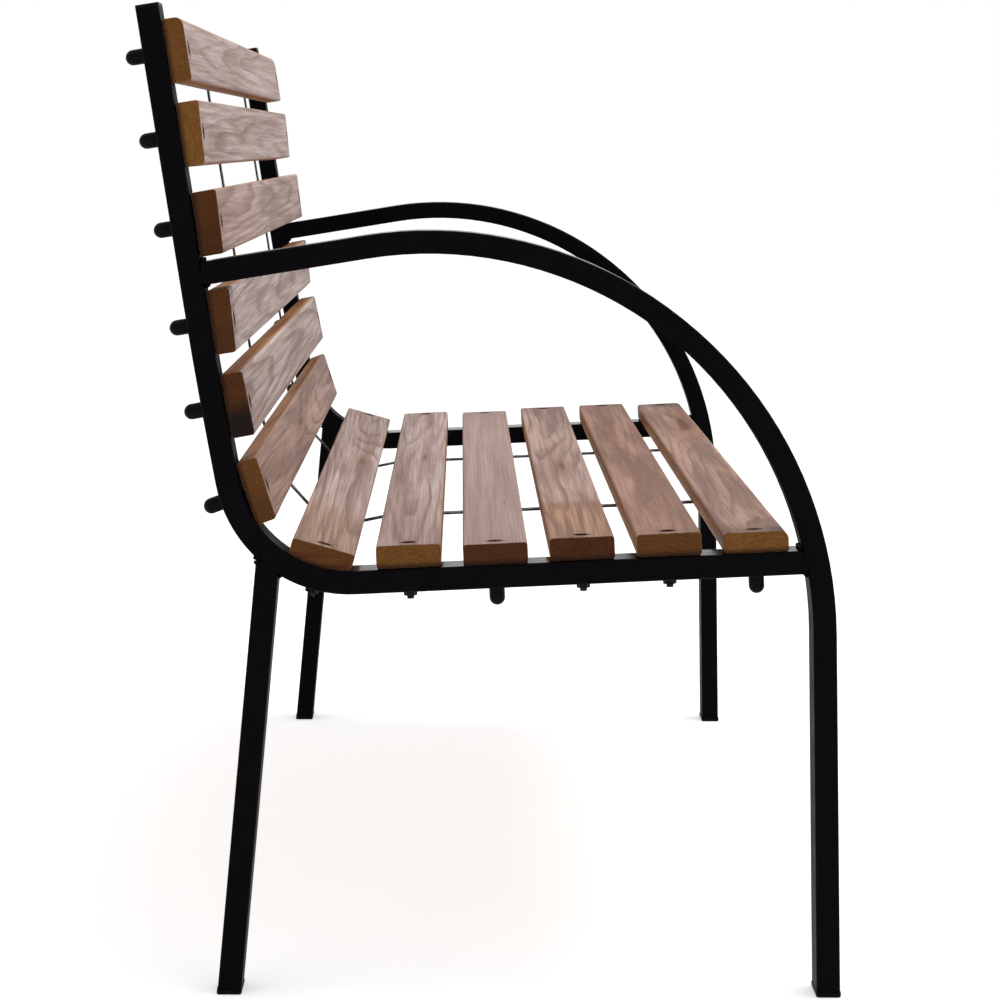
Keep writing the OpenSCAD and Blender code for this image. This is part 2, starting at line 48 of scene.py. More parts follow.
# Camera: it looks along the bench from its left end, level, with the picture shifted down
VIEW_FROM = Vector((-3.287, 0.0184, 0.7209))
LENS_MM = 112.33
SENSOR_MM = 36.0
SHIFT = (0.038, -0.357)
ROLL_DEG = 0.29
CLIP_END = 200.0            # metres, well past the floor

# Floor and light
FLOOR_REACH = 30.0          # metres from the middle to each edge
FLOOR_GLOW = 0.4            # what the lit floor lacks to the white of the surroundings
SKY_LIGHT = 0.75            # light on the bench from the white surroundings

# Side frames
TUBE_W = 40 * MM
TUBE_T = 20 * MM
BOLT_X = 630 * MM           # middle of each frame, where the bolts stand
BEND_CENTRE = Vector((0, 112.59 * MM, 453.37 * MM))
BEND_FACE_R = 95 * MM       # inner face of the seat bend, which the first seat slat is hollowed for
BEND_FROM_DEG, BEND_OVER_DEG, BEND_STEPS = 200, 100, 48     # stretch of the bend that hollows it
HOLLOW_DEPTH = 60 * MM      # from that face outward, well past the rear of the slat
HOLLOW_GAP = 0.4 * MM       # play between the slat and the sides of the tube
FOOT_PROUD = 0.6 * MM       # how far the base of a foot stands out past the tube
FOOT_RIM = 0.94             # share of the way out from which points belong to the rim of the base
SOLE_R = 1.5 * MM           # rounding of a foot's base where it meets the ground

# Weld beads
CORNER_BEAD = (1.9 * MM, 1.9 * MM)      # half width and height of a bead in a corner
SIDE_BEAD = (2.3 * MM, 0.95 * MM)       # and of one on the side of the tubes
BEAD_SIDES = 14             # points round a bead
BEAD_STEP = 0.35 * MM       # from one ring of points to the next
BEAD_LEAST_STEPS = 12
PUDDLE = 2.1 * MM           # from one ripple to the next
PUDDLE_DEPTH = 0.14         # share of a bead's size by which it dips between ripples
PUDDLE_LEAN = 0.5 * MM      # how far the top of each ripple leans along the bead
SWELL = 0.16                # share by which a bead is thicker here and thinner there
SWELL_LONG = 4 * MM
TAPER_POWER, TAPER_LEAST = 8, 0.05      # round ends of a bead
BEAD_PAST = 1 * MM          # a corner bead runs past the plain one
SIDE_SHORT = 0.5 * MM       # and a side bead stops short of its ends
SIDE_SEEDS = 20             # keeps the swell of side beads unlike that of corner beads

# Slats
SIDE_R = 2.5 * MM           # planed long edges
NOSE_R = 7 * MM             # worn front edge of the top back slat and the front seat slat
UPPER_FRONT, LOWER_FRONT = 2, 3         # places of the two front edges in a slat's outline
END_R = 0.9 * MM            # sawn ends, broken by hand
END_STEPS = ((0, END_R), (0.35 * END_R, 0.35 * END_R), (END_R, 0.0),
             (3 * MM, 0.0))         # how far from the end, and how much smaller, each section there is
END_ZONE = 8 * MM           # stretch at each end outside the even sections
END_RIM = 1.5 * MM          # ring round the sawn face
SECTIONS = 150              # even sections along a slat
ARC_STEPS = 4               # steps round each long edge
BOW = 0.3 * MM              # sideways bow at the middle, at most
WAVE = 0.35 * MM            # unevenness of the planed front face, in long waves
WAVE_LONG, WAVE_WIDE = 0.12, 0.05       # metres
SLAT_APART = 7.3            # keeps the waves of the slats unlike
DENT = 0.35 * MM            # knocks along the edges
DENT_LONG, DENT_WIDE = 0.022, 0.006     # metres
DENT_FROM = 0.15            # share of the noise that leaves the edge whole
DENT_DOWN = 0.6             # share of a knock that lowers the face too
EDGE_BAND = 5 * MM          # width of the knocked edge
REAR_LIFT = 0.3             # share of the front's stand-off by which the rear face moves too
FACE_FROM = 3 * MM          # depth below the front face at which the edge's stain gives way
FACE_BLEND = 2.6 * MM       # and over which it turns into the bleached face
RECESS_R = 6.35 * MM        # mouth of a bolt's recess
RECESS_DEPTH = 3.5 * MM
RECESS_RINGS = ((3.2 * MM, -RECESS_DEPTH), (RECESS_R, -0.8 * MM),
                (RECESS_R + 0.3 * MM, 8 * MM))      # radius and height over the slat's face
RECESS_SIDES = 32

# Grain
RING_MM = 3.6               # growth rings, one line a year
LOG_MM = 4000               # length of log from which the slats are taken
KNOT_LONG = 13              # how many times as long as wide the rings flow round a knot
NO_KNOT = (0, 0, -9)        # a core this small leaves the rings as they are

# What each point of a slat carries for its material
POINT_DATA = ("pith_mm",    # place in the log, along it and from the pith
              "skin",       # share of front face, stain held near the left end, swirl of the grain
              "stain",      # warmth of the face, gold in the sawn ends, painted shade toward their lower edge
              "board_mm",   # place from the bolt, across the slat, and from its rear face
              "knot_mm")    # place from the knot, along and across, and the radius of its core

MERGE = 0.001 * MM          # points closer than this are one
ON_GROUND = 0.01 * MM
FLAT_DEG = 0.5              # faces that meet at less are one
CREASE_DEG = 40             # edges sharper than this show as edges


# ------------------------------------------------------------ node materials
# Settings that many nodes share. A colour Mix takes its factor as i0 and its two colours as i6 and i7
SMOOTH = dict(interpolation_type="SMOOTHSTEP")
TIMES = dict(operation="MULTIPLY")
TIMES_PLUS = dict(operation="MULTIPLY_ADD")
LESS = dict(operation="SUBTRACT")
LARGER = dict(operation="MAXIMUM")
LENGTH = dict(operation="LENGTH")
BLEND = dict(data_type="RGBA")


def linear(code):
    """sRGB hex to linear colour."""
    parts = [int(code[k:k + 2], 16) / 255 for k in (0, 2, 4)]
    return (*(c / 12.92 if c <= 0.04045 else ((c + 0.055) / 1.055) ** 2.4 for c in parts), 1.0)


def add(tree, kind, settings=None, **inputs):
    """Adds a node with its settings and links. An input is named by its socket or as i0, i1 and so on."""
    node = tree.nodes.new("ShaderNode" + kind)
    for key, value in (settings or {}).items():
        if key == "stops":
            elements = node.color_ramp.elements
            while len(elements) < len(value):
                elements.new(0.5)
            for element, (position, grey) in zip(elements, value):
                element.position = position
                element.color = (grey, grey, grey, 1)
        else:
            setattr(node, key, value)
    for key, value in inputs.items():
        by_number = key[0] == "i" and key[1:].isdigit()
        socket = node.inputs[int(key[1:]) if by_number else key.replace("_", " ")]
        if isinstance(value, bpy.types.Node):
            value = next(o for o in value.outputs if o.enabled)
        if isinstance(value, bpy.types.NodeSocket):
            tree.links.new(value, socket)
        else:
            socket.default_value = value
    return node


def new_material(name):
    made = bpy.data.materials.new(name)
    made.use_nodes = True
    made.node_tree.nodes.clear()
    return made, made.node_tree


def stained_softwood():
    """Flat-sawn softwood slats, planed, stained brown and left outdoors: the stain holds on the
    edges and soaks dark into the sawn ends, the face has bleached to a pinkish grey in long patches,
    and the growth rings run along the slat as thin dark lines that close into arches."""
    made, t = new_material("stained_softwood")
    pith, skin, stain, board, knot = (
        add(t, "Attribute", dict(attribute_name=name)).outputs["Vector"] for name in POINT_DATA)
    face, held, swirl = add(t, "SeparateXYZ", i0=skin).outputs
    warmth, golden, lower_shade = add(t, "SeparateXYZ", i0=stain).outputs
    from_bolt, up, depth = add(t, "SeparateXYZ", i0=board).outputs
    along_knot, across_knot, core_r = add(t, "SeparateXYZ", i0=knot).outputs
    facing = add(t, "SeparateXYZ", i0=add(t, "TexCoord").outputs["Normal"])
    endward = add(t, "Math", dict(operation="ABSOLUTE"), i0=facing.outputs["X"])
    end = add(t, "MapRange", SMOOTH, Value=endward, From_Min=0.55, From_Max=0.85)

    # Marks drawn out along the grain: length and width of one in mm, detail and roughness of its edge
    marks = {}
    for mark, long_mm, wide_mm, detail, rough in (
            ("slow waves", 1300, 55, 1.5, 0.4),
            ("quick waves", 330, 14, 1.0, 0.5),
            ("ring strength", 520, 17, 2.0, 0.5),
            ("fibres", 420, 1.6, 3.0, 0.55),    # coarser than real ones, so that they show
            ("streaks", 640, 4.5, 3.0, 0.6),
            ("blotches", 420, 24, 4.0, 0.55),   # of old stain
            ("cracks", 220, 2.0, 2.0, 0.5)):
        at = add(t, "VectorMath", TIMES, i0=pith, i1=(1 / long_mm, 1 / wide_mm, 1 / wide_mm))
        marks[mark] = add(t, "TexNoise", Vector=at, Scale=1.0, Detail=detail, Roughness=rough).outputs["Fac"]

    # At most one knot a slat: the rings flow round it, and the wood there is browner
    drawn_out = add(t, "Math", TIMES, i0=along_knot, i1=1 / KNOT_LONG)
    knot_way = add(t, "CombineXYZ", X=drawn_out, Y=across_knot)
    from_knot = add(t, "VectorMath", LENGTH, i0=knot_way).outputs["Value"]
    knot_near = add(t, "MapRange", SMOOTH, Value=from_knot, From_Min=2.0, From_Max=32.0,
                    To_Min=1.0, To_Max=0.0)
    past_core = add(t, "Math", LESS, i0=from_knot, i1=core_r)
    knot_core = add(t, "MapRange", SMOOTH, Value=past_core, From_Min=-2.5, From_Max=2.0,
                    To_Min=0.8, To_Max=0.0)
    halo = add(t, "Math", TIMES_PLUS, i0=core_r, i1=-1.6, i2=past_core)
    knotty = add(t, "MapRange", SMOOTH, Value=halo, From_Min=-8.0, From_Max=8.0,
                 To_Min=0.6, To_Max=0.0)

    # Rings: distance from the pith, bent by slow and quick waves and by the knot
    reach = add(t, "Math", TIMES_PLUS, i0=swirl, i1=12.0, i2=5.0)
    from_pith = add(t, "VectorMath", LENGTH, i0=add(t, "VectorMath", TIMES, i0=pith, i1=(0, 1, 1)))
    bent = add(t, "Math", TIMES_PLUS, i0=marks["slow waves"], i1=reach, i2=from_pith.outputs["Value"])
    pushed = add(t, "MapRange", Value=core_r, From_Max=4.0, To_Max=8.0)
    bent = add(t, "Math", TIMES_PLUS, i0=knot_near, i1=pushed, i2=bent)
    bent = add(t, "Math", TIMES_PLUS, i0=marks["quick waves"], i1=2.6, i2=bent)
    ring = add(t, "Math", dict(operation="FRACT"), i0=add(t, "Math", TIMES, i0=bent, i1=1 / RING_MM))
    late_wood = dict(stops=[(0.0, 0.05), (0.5, 0.12), (0.78, 0.75), (0.88, 1.0), (0.95, 0.6), (1.0, 0.05)])
    shown = add(t, "MapRange", SMOOTH, Value=marks["ring strength"], From_Min=0.34, From_Max=0.62, To_Min=0.2)
    late = add(t, "Math", TIMES, i0=add(t, "ValToRGB", late_wood, i0=ring), i1=shown)
    clear = add(t, "MapRange", Value=swirl, To_Min=0.3, To_Max=0.85)
    grown = add(t, "Math", TIMES, i0=late, i1=clear)

    # Streaks and long blotches of old stain, strong where the grain swirls, and cracks
    patches = add(t, "MapRange", SMOOTH, Value=marks["blotches"], From_Min=0.38, From_Max=0.62)
    streaky = add(t, "MapRange", SMOOTH, Value=marks["streaks"], From_Min=0.36, From_Max=0.64)
    lively = add(t, "MapRange", Value=swirl, From_Max=0.8, To_Min=0.3)
    patches, streaky = (
        add(t, "Math", TIMES_PLUS, i0=add(t, "Math", LESS, i0=mark, i1=0.5), i1=lively, i2=0.5)
        for mark in (patches, streaky))
    crack = add(t, "MapRange", SMOOTH, Value=marks["cracks"], From_Min=0.72, From_Max=0.79, To_Max=0.8)

    # The bleached face: pale grey to brownish pink, honey where stain is held, with darker ring lines
    bleach = add(t, "Mix", BLEND, i0=patches, i6=linear("896b60"), i7=linear("cdbdb9"))
    streaked = add(t, "Mix", BLEND, i0=streaky, i6=linear("8c7168"), i7=linear("c7b7b3"))
    worn = add(t, "Mix", BLEND, i0=0.5, i6=bleach, i7=streaked)
    browned = add(t, "Mix", BLEND, i0=patches, i6=linear("6d4838"), i7=linear("a4806f"))
    warm = add(t, "Mix", BLEND, i0=warmth, i6=worn, i7=browned)
    still = add(t, "Math", TIMES_PLUS, i0=streaky, i1=0.3, i2=0.7)
    still = add(t, "Math", TIMES, i0=still, i1=held)
    honey = add(t, "Mix", BLEND, i0=streaky, i6=linear("7f553c"), i7=linear("ab8366"))
    warm = add(t, "Mix", BLEND, i0=still, i6=warm, i7=honey)
    warm = add(t, "Mix", BLEND, i0=knotty, i6=warm, i7=linear("8a644f"))
    bleached = add(t, "Mix", BLEND, i0=grown, i6=warm, i7=linear("6b4c40"))

    # The long edges keep more stain
    edge_tone = add(t, "Mix", BLEND, i0=patches, i6=linear("7a4520"), i7=linear("a87a4e"))
    edge = add(t, "Mix", BLEND, i0=grown, i6=edge_tone, i7=linear("5d3720"))
    sides = add(t, "Mix", BLEND, i0=face, i6=edge, i7=bleached)

    # The sawn ends are soaked dark, and painted shade darkens them toward the rear face and, on some, the
    # lower edge
    sawn_tone = add(t, "Mix", BLEND, i0=golden, i6=linear("3a1908"), i7=linear("7d5325"))
    mottled = add(t, "Mix", BLEND, i0=streaky, i6=sawn_tone, i7=linear("5a300f"))
    sawn_tone = add(t, "Mix", BLEND, i0=0.35, i6=sawn_tone, i7=mottled)
    ringed = add(t, "Math", TIMES, i0=late, i1=0.3)
    sawn = add(t, "Mix", BLEND, i0=ringed, i6=sawn_tone, i7=linear("220e04"))
    # Painted shade on the sawn ends: toward the lower edge, and toward the rear face where the slat lies on
    # the tube
    low = add(t, "MapRange", SMOOTH, Value=up, From_Min=12.0, From_Max=-14.0)
    lower = add(t, "Math", TIMES, i0=low, i1=lower_shade)
    rear = add(t, "MapRange", SMOOTH, Value=depth, From_Min=6.0, From_Max=0.5, To_Max=0.8)
    shade = add(t, "Math", LARGER, i0=lower, i1=rear)
    shaded_sawn = add(t, "Mix", BLEND, i0=shade, i6=sawn, i7=linear("150a06"))

    whole = add(t, "Mix", BLEND, i0=end, i6=sides, i7=shaded_sawn)
    fibrous = add(t, "Mix", dict(BLEND, blend_type="OVERLAY"), i0=0.5, i6=whole, i7=marks["fibres"])
    cored = add(t, "Mix", BLEND, i0=knot_core, i6=fibrous, i7=linear("5a3826"))
    cracked = add(t, "Mix", BLEND, i0=crack, i6=cored, i7=linear("4a3229"))

    # Pale line where the edge of the face is rubbed, and a dark ring round each bolt
    turning = add(t, "ValToRGB", dict(stops=[(0.05, 0.0), (0.55, 0.35), (0.98, 0.0)]), i0=face)
    not_end = add(t, "Math", LESS, i0=1.0, i1=end)
    turning = add(t, "Math", TIMES, i0=turning, i1=not_end)
    rubbed = add(t, "Mix", BLEND, i0=turning, i6=cracked, i7=linear("c9a88c"))
    bolt_way = add(t, "CombineXYZ", X=from_bolt, Y=up)
    bolt_far = add(t, "VectorMath", LENGTH, i0=bolt_way).outputs["Value"]
    stained = add(t, "MapRange", SMOOTH, Value=bolt_far, From_Min=9.5, From_Max=5.5, To_Max=0.6)
    timber = add(t, "Mix", BLEND, i0=stained, i6=rubbed, i7=linear("5a3024"))

    height = add(t, "Math", TIMES_PLUS, i0=late, i1=0.5, i2=marks["fibres"])
    cut = add(t, "Math", TIMES_PLUS, i0=crack, i1=-1.5, i2=height)
    relief = add(t, "Bump", Strength=0.4, Distance=0.6 * MM, Height=cut)
    sheen = add(t, "MapRange", Value=marks["blotches"], From_Min=0.3, From_Max=0.7, To_Min=0.5, To_Max=0.68)
    wood = add(t, "BsdfPrincipled", Base_Color=timber, Roughness=sheen, IOR=1.45, Specular_IOR_Level=0.12,
               Normal=relief)
    add(t, "OutputMaterial", Surface=wood)
    return made


def brushed_black_paint():
    """Black enamel brushed over steel tube: deep black, dulled by weather and by dust in patches
    of about 36 mm, with faint brush waves 6 mm apart. On level faces it flowed out smooth and keeps
    its gloss."""
    made, t = new_material("black_enamel")
    at = add(t, "TexCoord").outputs["Object"]
    dust = add(t, "TexNoise", Vector=at, Scale=28.0, Detail=6.0, Roughness=0.65).outputs["Fac"]
    dusty = add(t, "MapRange", Value=dust, From_Min=0.52, From_Max=0.78, To_Max=0.5)
    colour = add(t, "Mix", BLEND, i0=dusty, i6=linear("040305"), i7=linear("0d0b0f"))
    waves = add(t, "TexNoise", Vector=at, Scale=160.0, Detail=3.0, Roughness=0.5).outputs["Fac"]
    skin = add(t, "Bump", Strength=0.12, Distance=0.8 * MM, Height=waves)
    facing = add(t, "SeparateXYZ", i0=add(t, "TexCoord").outputs["Normal"])
    level = add(t, "MapRange", SMOOTH, Value=facing.outputs["Z"], From_Min=0.8, From_Max=0.97)
    dull = add(t, "MapRange", Value=dust, From_Min=0.35, From_Max=0.7, To_Min=0.5, To_Max=0.62)
    gloss = add(t, "Math", TIMES_PLUS, i0=level, i1=-0.4, i2=dull)
    paint = add(t, "BsdfPrincipled", Base_Color=colour, Roughness=gloss, IOR=1.5, Specular_IOR_Level=0.035,
                Normal=skin)
    add(t, "OutputMaterial", Surface=paint)
    return made


def moulded_black_polythene():
    """Moulded black polythene caps, plugs and feet: a little greyer and softer in gloss than the
    paint, with mould grain of under 1 mm and scuffs of about 11 mm."""
    made, t = new_material("moulded_black_polythene")
    at = add(t, "TexCoord").outputs["Object"]
    scuff = add(t, "TexNoise", Vector=at, Scale=90.0, Detail=5.0, Roughness=0.7).outputs["Fac"]
    scuffed = add(t, "MapRange", Value=scuff, From_Min=0.55, From_Max=0.8, To_Max=0.7)
    colour = add(t, "Mix", BLEND, i0=scuffed, i6=linear("060507"), i7=linear("17141a"))
    grain = add(t, "TexNoise", Vector=at, Scale=1500.0, Detail=2.0).outputs["Fac"]
    skin = add(t, "Bump", Strength=0.1, Distance=0.3 * MM, Height=grain)
    plastic = add(t, "BsdfPrincipled", Base_Color=colour, Roughness=0.42, IOR=1.5, Specular_IOR_Level=0.06,
                  Normal=skin)
    add(t, "OutputMaterial", Surface=plastic)
    return made


def dulled_zinc(name, plate_code, bloom_code, brightest):
    """Zinc-plated steel after some years outdoors: dark grey, with brown bloom in patches of about
    8 mm and a dull metal gleam between them."""
    made, t = new_material(name)
    at = add(t, "TexCoord").outputs["Object"]
    bloom = add(t, "TexNoise", Vector=at, Scale=120.0, Detail=6.0, Roughness=0.7).outputs["Fac"]
    rusty = add(t, "MapRange", Value=bloom, From_Min=0.45, From_Max=0.62)
    colour = add(t, "Mix", BLEND, i0=rusty, i6=linear(plate_code), i7=linear(bloom_code))
    metal = add(t, "MapRange", Value=rusty, To_Min=brightest, To_Max=0.1)
    rough = add(t, "MapRange", Value=rusty, To_Min=0.38, To_Max=0.8)
    skin = add(t, "Bump", Strength=0.3, Distance=0.3 * MM, Height=bloom)
    plate = add(t, "BsdfPrincipled", Base_Color=colour, Metallic=metal, Roughness=rough,
                Specular_IOR_Level=0.1, Normal=skin)
    add(t, "OutputMaterial", Surface=plate)
    return made


WOOD = stained_softwood()
PAINT = brushed_black_paint()
PLASTIC = moulded_black_polythene()
ZINC = dulled_zinc("dulled_zinc_strip", "2e2e30", "261d18", 0.9)
RUSTED = dulled_zinc("rusted_bolt_heads", "262223", "231a19", 0.4)
# A darker zinc for the nuts than for the strip
DARKER_ZINC = dulled_zinc("darker_nuts", "161418", "120e10", 0.4)

FINISHES = {"black_steel": PAINT, "black_plastic": PLASTIC, "zinc_steel": ZINC, "wood": WOOD}
for part in frame["record"]["subparts"]:
    finish = FINISHES[part["material_slot"]]
    if part["node"].endswith("_bolts"):
        finish = RUSTED
    if part["node"].endswith("_nuts"):
        finish = DARKER_ZINC
    materials = nodes[part["node"]].data.materials
    materials.clear()
    materials.append(finish)


# ------------------------------------------------------------ meshes
def in_scene(name, data):
    """Puts a mesh, lamp or camera in the scene as an object."""
    made = bpy.data.objects.new(name, data)
    bpy.context.scene.collection.objects.link(made)
    return made


def mesh_of(shape, name):
    """Turns a built shape into a mesh."""
    bmesh.ops.recalc_face_normals(shape, faces=shape.faces)
    mesh = bpy.data.meshes.new(name)
    shape.to_mesh(mesh)
    shape.free()
    return mesh


def join_rings(shape, rings):
    """Faces between each ring of points and the next."""
    for one, two in zip(rings, rings[1:]):
        for k in range(len(one)):
            after = (k + 1) % len(one)
            shape.faces.new((one[k], one[after], two[after], two[k]))


def solid_of_rings(shape, rings):
    """Faces between the rings, and over the first and the last."""
    join_rings(shape, rings)
    shape.faces.new(rings[0])
    shape.faces.new(rings[-1])


def boolean_cut(piece, cutter):
    """Takes the cutter out of the piece and removes it."""
    cut = piece.modifiers.new("cut", "BOOLEAN")
    cut.operation = "DIFFERENCE"
    cut.solver = "EXACT"
    cut.object = cutter
    bpy.context.view_layer.update()
    done = piece.evaluated_get(bpy.context.evaluated_depsgraph_get())
    mesh = bpy.data.meshes.new_from_object(done)
    piece.modifiers.clear()
    old = piece.data
    piece.data = mesh
    bpy.data.meshes.remove(old)
    bpy.data.objects.remove(cutter)


def finish_piece(shape, name, finish, stands_for, cutters=(), creased=True):
    """Makes a built shape a piece that rides on the bench in place of its CAD node, with the
    cutters taken out of it."""
    mesh = mesh_of(shape, name)
    mesh.materials.append(finish)
    piece = in_scene(name, mesh)
    for cutter in cutters:
        boolean_cut(piece, cutter)
    for polygon in piece.data.polygons:
        polygon.use_smooth = True
    if creased:
        piece.data.set_sharp_from_angle(angle=math.radians(CREASE_DEG))
    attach(piece, "root")
    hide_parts(stands_for)


def slat_frame(name):
    """Place of a slat, read from its solid: middle of its rear face, directions across and
    outward, width, thickness and half its length."""
    mesh = nodes[name].data
    areas = {}
    for polygon in mesh.polygons:
        n = polygon.normal
        if abs(n.x) < 0.01:
            key = (round(n.y, 3), round(n.z, 3))
            areas[key] = areas.get(key, 0) + polygon.area
    front = [k for k in areas if (k[0] < 0 if name.startswith("back") else k[1] > 0.5)]
    out = Vector((0, *max(front, key=areas.get))).normalized()
    across = out.cross(Vector((1, 0, 0)))
    heights = [v.co.dot(out) for v in mesh.vertices]
    widths = [v.co.dot(across) for v in mesh.vertices]
    middle = (max(widths) + min(widths)) / 2
    origin = out * min(heights) + across * middle
    half = max(v.co.x for v in mesh.vertices)
    return origin, across, out, max(widths) - min(widths), max(heights) - min(heights), half


def rounded_section(width, thick, radii):
    """Outline of a slat, as points across it and out from its rear face, round from its lower
    rear edge. The long sides are divided finer than the short ones."""
    half = width / 2
    corners = [(-half, 0, radii[0], 180), (half, 0, radii[1], 270), (half, thick, radii[2], 0),
               (-half, thick, radii[3], 90)]

    def on_corner(corner, turned):
        x, y, r, start = corner
        a = math.radians(start + turned)
        return x + (r if x < 0 else -r) + r * math.cos(a), y + (r if y == 0 else -r) + r * math.sin(a)

    points = []
    for corner, following, cuts in zip(corners, corners[1:] + corners[:1], (7, 3, 7, 3)):
        points += [on_corner(corner, 90 * s / ARC_STEPS) for s in range(ARC_STEPS + 1)]
        (x0, y0), (x1, y1) = points[-1], on_corner(following, 0)
        points += [(x0 + (x1 - x0) * s / cuts, y0 + (y1 - y0) * s / cuts) for s in range(1, cuts)]
    return points


def recess_cutter(origin, across, out, thick):
    """Countersunk recesses for the two bolt heads of a slat, as one loose mesh."""
    shape = bmesh.new()
    for side in (-1, 1):
        rings = []
        for r, over_face in RECESS_RINGS:
            middle = Vector((side * BOLT_X, 0, 0)) + origin + out * (thick + over_face)
            angles = [2 * math.pi * k / RECESS_SIDES for k in range(RECESS_SIDES)]
            rings.append([shape.verts.new(middle + (Vector((1, 0, 0)) * (r * math.cos(a))
                                                    + across * (r * math.sin(a)))) for a in angles])
        solid_of_rings(shape, rings)
    return in_scene("recess", mesh_of(shape, "recess"))


def bend_cutter():
    """Outer side of the seat bend at both frames, which the first seat slat is hollowed for."""
    outer_r = BEND_FACE_R + HOLLOW_DEPTH
    shape = bmesh.new()
    for side in (-1, 1):
        rings = []
        for k in range(BEND_STEPS + 1):
            a = math.radians(BEND_FROM_DEG + BEND_OVER_DEG * k / BEND_STEPS)
            way = Vector((0, -math.cos(a), math.sin(a)))
            ring = []
            for r, x in ((BEND_FACE_R, -1), (outer_r, -1), (outer_r, 1), (BEND_FACE_R, 1)):
                at = BEND_CENTRE + way * r
                at.x = side * BOLT_X + x * (TUBE_W / 2 + HOLLOW_GAP)
                ring.append(shape.verts.new(at))
            rings.append(ring)
        solid_of_rings(shape, rings)
    return in_scene("bend", mesh_of(shape, "bend"))


def share(value, whole):
    """Value as a share of the whole, held between none and all of it."""
    return min(1.0, max(0.0, value / whole))


def slat(name, seed, stain, pith, slope, swirl, knot=NO_KNOT, held=0.0, fade=(-180, 300),
         lifts=(0, 0), nose=None, corner_r=0.0, on_bend=False):
    """One timber slat: rounded section with worn, uneven edges, a slight bow, recessed bolt heads,
    and for each point its place in the log, which the grain follows.

    stain: warmth of the face, gold in the sawn ends, painted shade toward their lower edge
    pith, slope: place of the pith across the slat and out from its rear face, in mm, and its run
    swirl: how much the grain swirls
    knot: place along and across the slat, and radius of its core, in mm
    held, fade: stain left near the left end; where it ends and over what length, in mm
    lifts: how far the front face stands off at its lower and upper edge, in mm
    nose: the front edge that is worn round
    corner_r: rounding of the far upper corner
    on_bend: hollowed for the seat bend"""
    luck = random.Random(seed)
    origin, across, out, width, thick, half = slat_frame(name)
    radii = [SIDE_R] * 4
    if nose is not None:
        radii[nose] = NOSE_R
    section = rounded_section(width, thick, radii)
    stations = [(-half + x, inset) for x, inset in END_STEPS]
    stations += [(-half + END_ZONE + (2 * half - 2 * END_ZONE) * k / SECTIONS, 0.0)
                 for k in range(SECTIONS + 1)]
    stations += [(half - x, inset) for x, inset in reversed(END_STEPS)]
    bow = luck.uniform(-BOW, BOW)
    along_log = luck.uniform(0, LOG_MM)
    shape = bmesh.new()
    layers = [shape.verts.layers.float_vector.new(data) for data in POINT_DATA]

    def point(x, y, z):
        """Point of the slat: x from its middle, y across it, z out from its rear face."""
        wave = WAVE * noise.noise(Vector((x / WAVE_LONG, seed * SLAT_APART, y / WAVE_WIDE)))
        knock = noise.noise(Vector((x / DENT_LONG, y / DENT_WIDE, z / DENT_WIDE + seed)))
        dent = DENT * max(0.0, knock - DENT_FROM) * share(abs(y) - width / 2 + EDGE_BAND, EDGE_BAND)
        lift = (lifts[0] + (lifts[1] - lifts[0]) * (y / width + 0.5)) * MM
        into_corner = x - (half - corner_r)
        if into_corner > 0 and y > 0:
            lost = corner_r - math.sqrt(max(0.0, corner_r ** 2 - into_corner ** 2))
            y -= lost * y / (width / 2)
        aside = y - math.copysign(dent, y) + bow * (1 - (x / half) ** 2)
        ahead = z + (wave - DENT_DOWN * dent + lift if z > thick / 2 else REAR_LIFT * lift)
        v = shape.verts.new(origin + Vector((x, 0, 0)) + across * aside + out * ahead)
        values = ((x / MM + along_log, y / MM - pith[0] - slope[0] * x / MM,
                   z / MM - pith[1] - slope[1] * x / MM),
                  (share(z - thick + FACE_FROM, FACE_BLEND), held * share(fade[0] - x / MM, fade[1]), swirl),
                  stain,
                  (abs(x) / MM - BOLT_X / MM, y / MM, z / MM),
                  (x / MM - knot[0], y / MM - knot[1], knot[2]))
        for layer, value in zip(layers, values):
            v[layer] = Vector(value)
        return v

    def ring_at(x, inset):
        narrower, thinner = 1 - inset / (width / 2), 1 - inset / (thick / 2)
        return [point(x, y * narrower, thick / 2 + (z - thick / 2) * thinner) for y, z in section]

    rings = [ring_at(x, inset) for x, inset in stations]
    join_rings(shape, rings)
    for (x, inset), outer in ((stations[0], rings[0]), (stations[-1], rings[-1])):
        inner = ring_at(x, inset + END_RIM)
        join_rings(shape, (outer, inner))
        shape.faces.new(inner)
    cutters = [recess_cutter(origin, across, out, thick)]
    if on_bend:
        cutters.append(bend_cutter())
    finish_piece(shape, name + "_timber", WOOD, name, cutters)


def connected_parts(name):
    """The separate solids of a CAD node, each as a list of points. They come in the order of the
    node's own points, so that each run gives the same."""
    solid = bmesh.new()
    solid.from_mesh(nodes[name].data)
    bmesh.ops.remove_doubles(solid, verts=solid.verts, dist=MERGE)
    reached = set()
    parts = []
    for start in solid.verts:
        if start in reached:
            continue
        reached.add(start)
        found, border = [start], [start]
        while border:
            v = border.pop()
            for edge in v.link_edges:
                other = edge.other_vert(v)
                if other not in reached:
                    reached.add(other)
                    found.append(other)
                    border.append(other)
        parts.append([v.co.copy() for v in found])
    solid.free()
    return parts


